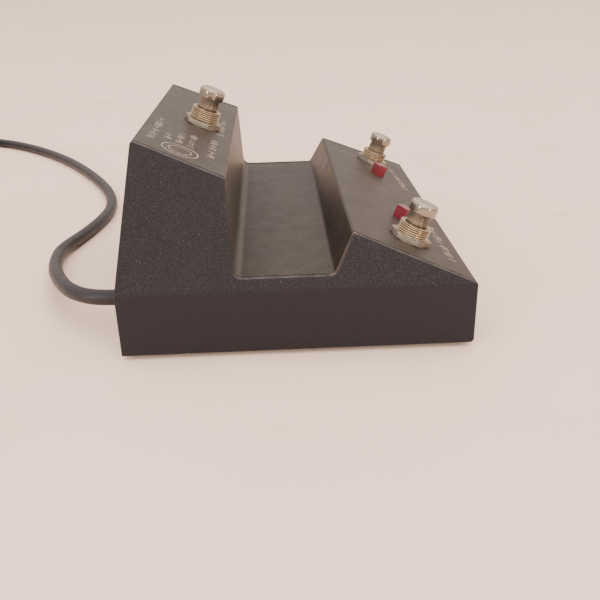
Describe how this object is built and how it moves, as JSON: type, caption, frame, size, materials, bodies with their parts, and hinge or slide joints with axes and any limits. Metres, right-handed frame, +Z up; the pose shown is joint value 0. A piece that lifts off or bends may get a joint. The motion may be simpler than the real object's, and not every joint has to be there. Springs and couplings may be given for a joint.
{
  "type": "amplifier footswitch pedal",
  "caption": "Wedge-shaped steel foot pedal with push switches on a low and a high deck, red lamps, a foot well between the decks and a long captive cord with a round plug.",
  "frame": {"origin": "on the floor under the middle of the housing, at the bottom centre of the object without its free cord", "axes": "+X towards the player's right, along the housing's width; -Y towards the player and the low front deck; +Y towards the high deck and the cord; +Z up"},
  "size_m": [0.3835, 0.4199, 0.0818],
  "materials": {
    "deck_paint": "satin dark brown-black enamel with a fine grain, worn at the folds",
    "side_paint": "black wrinkle enamel with pale specks, chipped at the corners",
    "base_steel": "flat black",
    "plain_steel": "plain bright steel",
    "zinc": "dull zinc plate",
    "bushing_plate": "worn nickel over brass",
    "button_plate": "bright nickel plate, lightly tarnished",
    "brass_part": "plain brass",
    "lamp_red": "moulded red, slightly cloudy",
    "foot_rubber": "matt",
    "cord_rubber": "satin, slightly dusty",
    "black_plastic": "moulded",
    "brown_board": "phenolic board",
    "white_nylon": "moulded nylon",
    "wire_jacket": "PVC",
    "resistor_body": "lacquered",
    "strap": "hook-and-loop tape"
  },
  "bodies": {
    "housing": {"wrap_panel": "deck_paint", "side_panel_left": "side_paint", "side_panel_right": "side_paint", "corner_brackets": "plain_steel", "base_plate": "base_steel", "base_screws": "zinc", "rubber_feet": "foot_rubber", "switch_nuts": "zinc", "lock_washers": "zinc", "inner_nuts": "zinc", "lamp_left": "lamp_red", "lamp_right": "lamp_red", "lamp_leads": "plain_steel", "tag_strip": "brown_board", "tag_rivets": "brass_part", "solder_tags": "brass_part", "resistors": "resistor_body", "switch_wires": "wire_jacket", "lamp_wires": "wire_jacket", "cord_conductors": "wire_jacket", "strain_relief": "black_plastic", "cord_tail": "cord_rubber", "cord_grip": "white_nylon", "cord_lead": "cord_rubber", "cord_end": "cord_rubber", "cord_coil": "cord_rubber", "coil_ties": "strap", "plug_boot": "black_plastic", "plug_body": "black_plastic", "plug_sleeve": "button_plate", "plug_insert": "brown_board", "plug_pins": "brass_part", "front_left_bushing": "bushing_plate", "front_left_frame": "zinc", "front_left_casing": "black_plastic", "front_left_terminal_base": "brown_board", "front_left_terminals": "brass_part", "front_left_spring": "plain_steel", "front_right_bushing": "bushing_plate", "front_right_frame": "zinc", "front_right_casing": "black_plastic", "front_right_terminal_base": "brown_board", "front_right_terminals": "brass_part", "front_right_spring": "plain_steel", "rear_bushing": "bushing_plate", "rear_frame": "zinc", "rear_casing": "black_plastic", "rear_terminal_base": "brown_board", "rear_terminals": "brass_part", "rear_spring": "plain_steel"},
    "front_left_push": {"front_left_button": "button_plate", "front_left_slider": "white_nylon", "front_left_contact": "brass_part"},
    "front_right_push": {"front_right_button": "button_plate", "front_right_slider": "white_nylon", "front_right_contact": "brass_part"},
    "rear_push": {"rear_button": "button_plate", "rear_slider": "white_nylon", "rear_contact": "brass_part"}
  },
  "joints": [
    {"name": "front_left_press", "type": "slide", "parent": "housing", "child": "front_left_push", "axis": [0, 0.3827, -0.9239], "range_m": [0, 0.0033], "stiffness_N_per_m": 1500, "springref_m": -0.003, "deforming": ["front_left_spring"]},
    {"name": "front_right_press", "type": "slide", "parent": "housing", "child": "front_right_push", "axis": [0, 0.3827, -0.9239], "range_m": [0, 0.0033], "stiffness_N_per_m": 1500, "springref_m": -0.003, "deforming": ["front_right_spring"]},
    {"name": "rear_press", "type": "slide", "parent": "housing", "child": "rear_push", "axis": [0, 0.3827, -0.9239], "range_m": [0, 0.0033], "stiffness_N_per_m": 1500, "springref_m": -0.003, "deforming": ["rear_spring"]}
  ]
}
